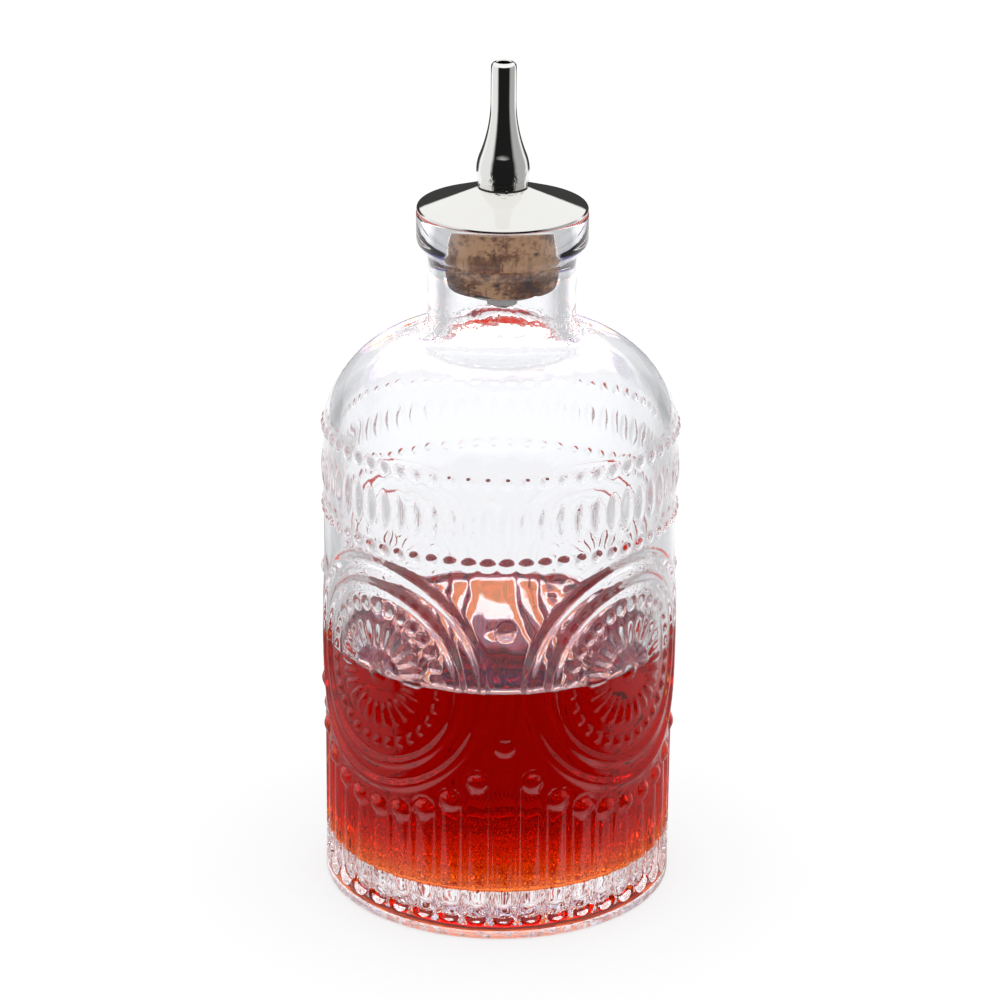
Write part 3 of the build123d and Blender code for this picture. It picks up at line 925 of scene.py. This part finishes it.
def spout_profile():
    """Foot, bulge, flare and straight tip joined by tangent arcs, then the hole,
    the socket for the stem's thread and the pocket for its flange."""
    bulge_z = spout_low.z + spout_bulge
    narrowing = spout_bulge_r - spout_tip_r
    lean = 2 * math.atan2(narrowing, spout_flare)
    shoulder_arc = spout_flare / math.sin(lean) * (1 - flare_share)
    join = (spout_bulge_r - shoulder_arc * (1 - math.cos(lean)), bulge_z + shoulder_arc * math.sin(lean))
    end = (spout_tip_r, bulge_z + spout_flare)
    top = spout_high.z
    return np.concatenate([
        arc_from((spout_bulge_r, bulge_z), (spout_foot_r, spout_low.z), (0.0, -1.0), 8)[::-1],
        arc_from((spout_bulge_r, bulge_z), join, (0.0, 1.0), 14)[1:],
        arc_from(end, join, (0.0, -1.0), 26)[::-1][1:],
        run(end, (spout_tip_r, top - spout_tip_round), 6)[1:],
        arc((spout_tip_r - spout_tip_round, top - spout_tip_round), spout_tip_round, 0.0, 90.0, 9)[1:],
        run((spout_tip_r - spout_tip_round, top), (spout_hole_r, top - hole_lip), 3)[1:],
        run((spout_hole_r, top - hole_lip), (spout_hole_r, top - spout_hole), 4)[1:],
        run((spout_hole_r, top - spout_hole), (socket_r, socket_top), 3)[1:],
        run((socket_r, socket_top), (socket_r, pocket_top), 4)[1:],
        run((socket_r, pocket_top), (pocket_r, pocket_top), 3)[1:],
        run((pocket_r, pocket_top), (pocket_r, spout_low.z), 3)[1:],
        run((pocket_r, spout_low.z), (spout_foot_r, spout_low.z), 3)[1:-1],
    ])


spout = solid_of_rings("spout_dasher", rings(spout_profile(), metal_columns), closed=True)
spout.data.set_sharp_from_angle(angle=math.radians(50.0))
drawn_metal = principled(
    "drawn_metal", Base_Color=(0.93, 0.925, 0.905, 1.0), Roughness=0.03, Metallic=1.0
)
crimp_low, crimp_high = (spout_low.z + rise for rise in crimp_rise)
spout_height = place_parts(drawn_metal, "Object").z
crimped = fade(drawn_metal, spout_height, crimp_low, crimp_high, 1.0, crimp_left)
crimp = noise(drawn_metal, object_place(drawn_metal), Scale=900.0, Detail=3.0)
roughen(drawn_metal, both(drawn_metal, crimp, crimped), crimp_depth)
spout.data.materials.append(drawn_metal)
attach(spout, "spout")
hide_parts("dasher_spout")

seal_profile = rounded_ring(seal_inner_r, seal_outer_r, seal_low.z, seal_high.z, seal_edge)
seal = solid_of_rings("seal_ring", rings(seal_profile, ring_columns), closed=True)
seal_rubber = principled("seal_rubber", Base_Color=(0.02, 0.02, 0.022, 1.0), Roughness=0.55)
roughen(seal_rubber, noise(seal_rubber, object_place(seal_rubber), Scale=2500.0), seal_grain)
seal.data.materials.append(seal_rubber)
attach(seal, "seal")
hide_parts("spout_gasket")

# Camera
# It stands where the photograph was taken from, a little left of the front.
camera_distance = 0.6777
camera_height = 0.3386
camera_side = math.radians(-2.36)
camera_pitch = math.radians(21.234)
camera_roll = 0.009
focal_length = 139.67
sensor_width = 36.0
camera_data = bpy.data.cameras.new("camera")
camera_data.lens = focal_length
camera_data.sensor_width = sensor_width
camera = bpy.data.objects.new("camera", camera_data)
bpy.context.scene.collection.objects.link(camera)
forward = Vector((
    -math.sin(camera_side) * math.cos(camera_pitch),
    math.cos(camera_side) * math.cos(camera_pitch),
    -math.sin(camera_pitch),
))
level_right = Vector((math.cos(camera_side), math.sin(camera_side), 0.0))
level_up = level_right.cross(forward)
right = level_right * math.cos(camera_roll) + level_up * math.sin(camera_roll)
up = right.cross(forward)
camera.matrix_world = Matrix((
    (right.x, up.x, -forward.x, camera_distance * math.sin(camera_side)),
    (right.y, up.y, -forward.y, -camera_distance * math.cos(camera_side)),
    (right.z, up.z, -forward.z, camera_height),
    (0.0, 0.0, 0.0, 1.0),
))
bpy.context.scene.camera = camera

# Floor and room
# A white table in a white room. Metal also sees the dark floor on the camera's side
# and the dark wall low behind. What shows through the glass is greyer to the sides,
# with a dim wall and, close behind the bottle, a bright card.
# Turns and sectors are cosines or sines of the turn away from straight behind
front_dark = 0.012
back_dark = 0.05
behind_turns = (0.985, 0.78)
behind_levels = (1.05, 0.60)
beside_turns = (0.35, -0.25)
beside_levels = (1.0, 1.5)
side_sectors = ((-0.75, -0.55), (0.55, 0.25))
right_side = ((0.3, 0.75), 0.42)
left_side = ((-0.3, -0.9), 0.82)
front_turns = (-0.45, -0.72)
wall_turns = (0.55, 0.75)
glass_white = (0.955, 0.972, 1.0, 1.0)


def without(holder, share, dark):
    """Brightness that falls from 1 to dark as the share rises to 1."""
    return maths(holder, "SUBTRACT", 1.0, maths(holder, "MULTIPLY", share, 1.0 - dark))


def greyer_sideways(holder, ahead):
    """Brightness through the glass: full straight behind, least from 40 to 70 degrees
    away from there, and nearly full again from 105 degrees on."""
    behind = fade(holder, ahead, *behind_turns, *behind_levels)
    return both(holder, behind, fade(holder, ahead, *beside_turns, *beside_levels))


def sides_of_metal(holder, place):
    """Brightness that metal sees to its sides: pale on the left, grey on the right."""
    sector = both(holder, *[fade(holder, place.ahead, *turns) for turns in side_sectors])
    return both(holder, *[
        without(holder, both(holder, sector, fade(holder, place.across, *turns)), level)
        for turns, level in (right_side, left_side)
    ])


def tinted(holder, share):
    """White, turning to the cool white of the glass as the share rises."""
    return blended(holder, white, glass_white, share)


def ray_kinds(holder):
    """Whether a ray has passed through glass, is mirrored, or is the camera's own. One
    that has passed through glass counts as glossy too, so it is taken off."""
    path = add_node(holder, "ShaderNodeLightPath")
    passed, direct = path.outputs["Is Transmission Ray"], path.outputs["Is Camera Ray"]
    mirrored = maths(holder, "SUBTRACT", path.outputs["Is Glossy Ray"], passed, clamped=True)
    return SimpleNamespace(passed=passed, mirrored=mirrored, direct=direct)


def emptied(holder):
    """The same material or world, with its nodes switched on and none left."""
    holder.use_nodes = True
    holder.node_tree.nodes.clear()
    return holder


def sheet(name, low, high):
    """One rectangle between two opposite corners."""
    (left, near, foot), (side, far, top) = low, high
    mesh = bpy.data.meshes.new(name)
    corners = [(left, near, foot), (side, near, foot), (side, far, top), (left, far, top)]
    mesh.from_pydata(corners, [], [(0, 1, 2, 3)])
    made = bpy.data.objects.new(name, mesh)
    bpy.context.scene.collection.objects.link(made)
    return made


floor_size = 3.0
front_edge = (-0.045, -0.06)
front_half_width = (0.27, 0.25)
wall_edge = (0.46, 0.50)
near_reach, near_side, near_level = (0.24, 0.17), (-0.03, -0.06), 0.4
beneath_reach, beneath_levels = (0.026, 0.033), (2.4, 0.0)
far_reach, far_levels = (0.42, 0.60), (1.0, 0.85)
shadow_share = 0.45
table_grey = 0.8
background_level = 1.05
camera_glow = (background_level - table_grey * shadow_share) / (1.0 - shadow_share)
floor = sheet("floor", (-floor_size, -floor_size, 0), (floor_size, floor_size, 0))
table = emptied(bpy.data.materials.new("table_white"))
place = place_parts(table, "Object")
front_middle = fade(table, maths(table, "ABSOLUTE", place.x), *front_half_width)
front_sides = fade(table, place.ahead, *front_turns)
front_area = maths(table, "MAXIMUM", front_middle, front_sides)
front = both(table, fade(table, place.y, *front_edge), front_area)
wall_foot = both(table, fade(table, place.y, *wall_edge), fade(table, place.ahead, *wall_turns))
near_left = both(table, fade(table, place.flat, *near_reach), fade(table, place.x, *near_side))
reflected = both(
    table,
    without(table, front, front_dark),
    without(table, wall_foot, back_dark),
    sides_of_metal(table, place),
    without(table, near_left, near_level),
)
# Seen only through the glass, the floor right under the bottle glows brighter than the rest: a painted
# pool of light under the base
painted_light_beneath = fade(table, place.flat, *beneath_reach, *beneath_levels)
around = maths(table, "MAXIMUM", greyer_sideways(table, place.ahead), painted_light_beneath)
through = both(table, around, fade(table, place.y, *far_reach, *far_levels))
rays = ray_kinds(table)
strength = maths(table, "ADD", both(table, rays.mirrored, reflected), both(table, rays.passed, through))
strength = maths(table, "ADD", strength, both(table, rays.direct, camera_glow))
glow = add_node(table, "ShaderNodeEmission", Color=tinted(table, rays.passed), Strength=strength)
plain = add_node(table, "ShaderNodeBsdfDiffuse", Color=(table_grey, table_grey, table_grey, 1.0))
glowing = maths(
    table,
    "MAXIMUM",
    both(table, rays.direct, 1.0 - shadow_share),
    maths(table, "ADD", rays.mirrored, rays.passed),
)
mix = add_node(table, "ShaderNodeMixShader", i0=glowing, i1=plain.outputs[0], i2=glow.outputs[0])
add_node(table, "ShaderNodeOutputMaterial", Surface=mix.outputs[0])
floor.data.materials.append(table)

card_y = 0.133
card_half = 0.05
card_low, card_high = 0.070, 0.118
card_level = 11.0
card_edges = (card_half, 0.035)
card_foot, card_head = (card_low, 0.08), (card_high, 0.112)
cool_heights, cool_level = (0.1005, 0.1025), 0.16
warm_heights, warm_level = (0.0975, 0.0962), 0.58
low_heights, low_level = (0.090, 0.086), 0.4
top_heights, top_levels = (0.1115, 0.1075), (0.05, 1.0)
card_white = (1.0, 0.97, 0.97, 1.0)
card_warm = (1.0, 0.43, 0.22, 1.0)
card_cool = (0.9, 0.75, 1.0, 1.0)
bright_card = sheet("bright_card", (-card_half, card_y, card_low), (card_half, card_y, card_high))
card_light = emptied(bpy.data.materials.new("card_light"))
place = place_parts(card_light, "Object")
cool_part = fade(card_light, place.z, *cool_heights)
warm_part = fade(card_light, place.z, *warm_heights)
low_part = fade(card_light, place.z, *low_heights)
level = card_level
for part, part_level in ((warm_part, warm_level), (low_part, low_level), (cool_part, cool_level)):
    level = both(card_light, level, without(card_light, part, part_level))
level = both(card_light, level, fade(card_light, place.z, *top_heights, *top_levels))
colour = blended(card_light, card_white, card_warm, warm_part)
colour = blended(card_light, colour, card_cool, maths(card_light, "MAXIMUM", cool_part, low_part))
lit = add_node(card_light, "ShaderNodeEmission", Color=colour, Strength=level)
clear = add_node(card_light, "ShaderNodeBsdfTransparent")
shown = both(
    card_light,
    ray_kinds(card_light).passed,
    fade(card_light, maths(card_light, "ABSOLUTE", place.x), *card_edges),
    fade(card_light, place.z, *card_foot),
    fade(card_light, place.z, *card_head),
)
mix = add_node(card_light, "ShaderNodeMixShader", i0=shown, i1=clear.outputs[0], i2=lit.outputs[0])
add_node(card_light, "ShaderNodeOutputMaterial", Surface=mix.outputs[0])
bright_card.data.materials.append(card_light)

front_rise = (0.50, 0.40)
wall_rise = (0.33, 0.28)
side_rise = (0.5, 0.35)
dim_turns, dim_foot, dim_head, dim_level = (0.3, 0.7), (0.26, 0.33), (0.50, 0.43), 0.45
dim_colour = (0.45, 0.32, 1.0, 1.0)
room = emptied(bpy.data.worlds.new("room"))
bpy.context.scene.world = room
place = place_parts(room, "Generated")
front = both(room, fade(room, place.ahead, *front_turns), fade(room, place.z, *front_rise))
dark_wall = both(room, fade(room, place.ahead, *wall_turns), fade(room, place.z, *wall_rise))
low = fade(room, place.z, *side_rise)
low_sides = maths(room, "ADD", both(room, low, sides_of_metal(room, place)), without(room, low, 0.0))
reflected = both(room, without(room, front, front_dark), without(room, dark_wall, back_dark), low_sides)
dim_wall = both(
    room,
    fade(room, place.ahead, *dim_turns),
    fade(room, place.z, *dim_foot),
    fade(room, place.z, *dim_head),
)
through = both(room, greyer_sideways(room, place.ahead), without(room, dim_wall, dim_level))
rays = ray_kinds(room)
other = maths(room, "SUBTRACT", 1.0, maths(room, "ADD", rays.mirrored, rays.passed))
light = maths(room, "ADD", other, both(room, rays.mirrored, reflected))
light = maths(room, "ADD", light, both(room, rays.passed, through))
colour = blended(room, tinted(room, rays.passed), dim_colour, both(room, rays.passed, dim_wall))
background = add_node(room, "ShaderNodeBackground", Color=colour, Strength=light)
add_node(room, "ShaderNodeOutputWorld", Surface=background.outputs[0])
bpy.context.scene.view_settings.view_transform = "Standard"
# Light turns back many times inside the thick glass before it leaves
bpy.context.scene.cycles.max_bounces = 32
bpy.context.scene.cycles.glossy_bounces = 24
bpy.context.scene.cycles.transmission_bounces = 32
